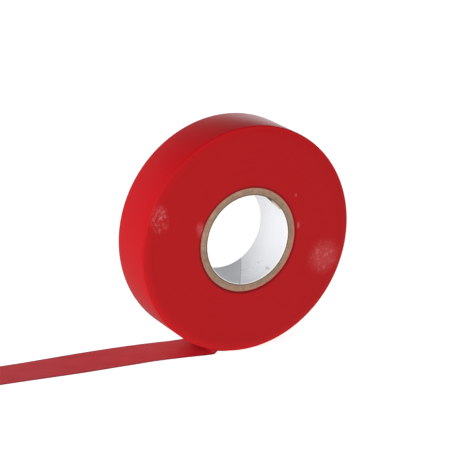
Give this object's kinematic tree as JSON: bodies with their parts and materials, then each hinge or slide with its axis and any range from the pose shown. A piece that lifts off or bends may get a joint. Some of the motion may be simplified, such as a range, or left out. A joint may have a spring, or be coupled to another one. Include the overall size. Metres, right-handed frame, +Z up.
{
  "type": "electrical tape roll",
  "caption": "Roll of red vinyl electrical tape on a chipboard core with a white paper lined bore, with a free strip peeled off at the bottom.",
  "frame": {"origin": "middle of the bore, halfway across the tape's width", "axes": "+Y along the bore axis away from the front face, +Z up with the roll standing on its rim, the strip lies along -X"},
  "size_m": [0.169, 0.019, 0.082],
  "materials": {
    "liner_paper": "matte white kraft paper",
    "chipboard": "cut edge of grey-brown chipboard",
    "red_vinyl": "satin plasticised PVC",
    "strip_vinyl": "PVC with its dull adhesive side up"
  },
  "bodies": {
    "roll": {"core_liner": "liner_paper", "core_ply_1": "chipboard", "core_ply_2": "chipboard", "core_ply_3": "chipboard", "core_ply_4": "chipboard", "core_ply_5": "chipboard", "core_ply_6": "chipboard", "tape_wound": "red_vinyl"},
    "tail": {"tape_peeled_root": "strip_vinyl"},
    "free_end": {"tape_free_end": "strip_vinyl"}
  },
  "joints": [
    {"name": "unwind", "type": "hinge", "parent": "roll", "child": "tail", "pos_m": [0, 0, 0], "axis": [0, 1, 0], "continuous": true},
    {"name": "tail_lift", "type": "hinge", "parent": "tail", "child": "free_end", "pos_m": [-0.025, 0, -0.04093], "axis": [0, 1, 0], "range_deg": [0, 55]}
  ]
}
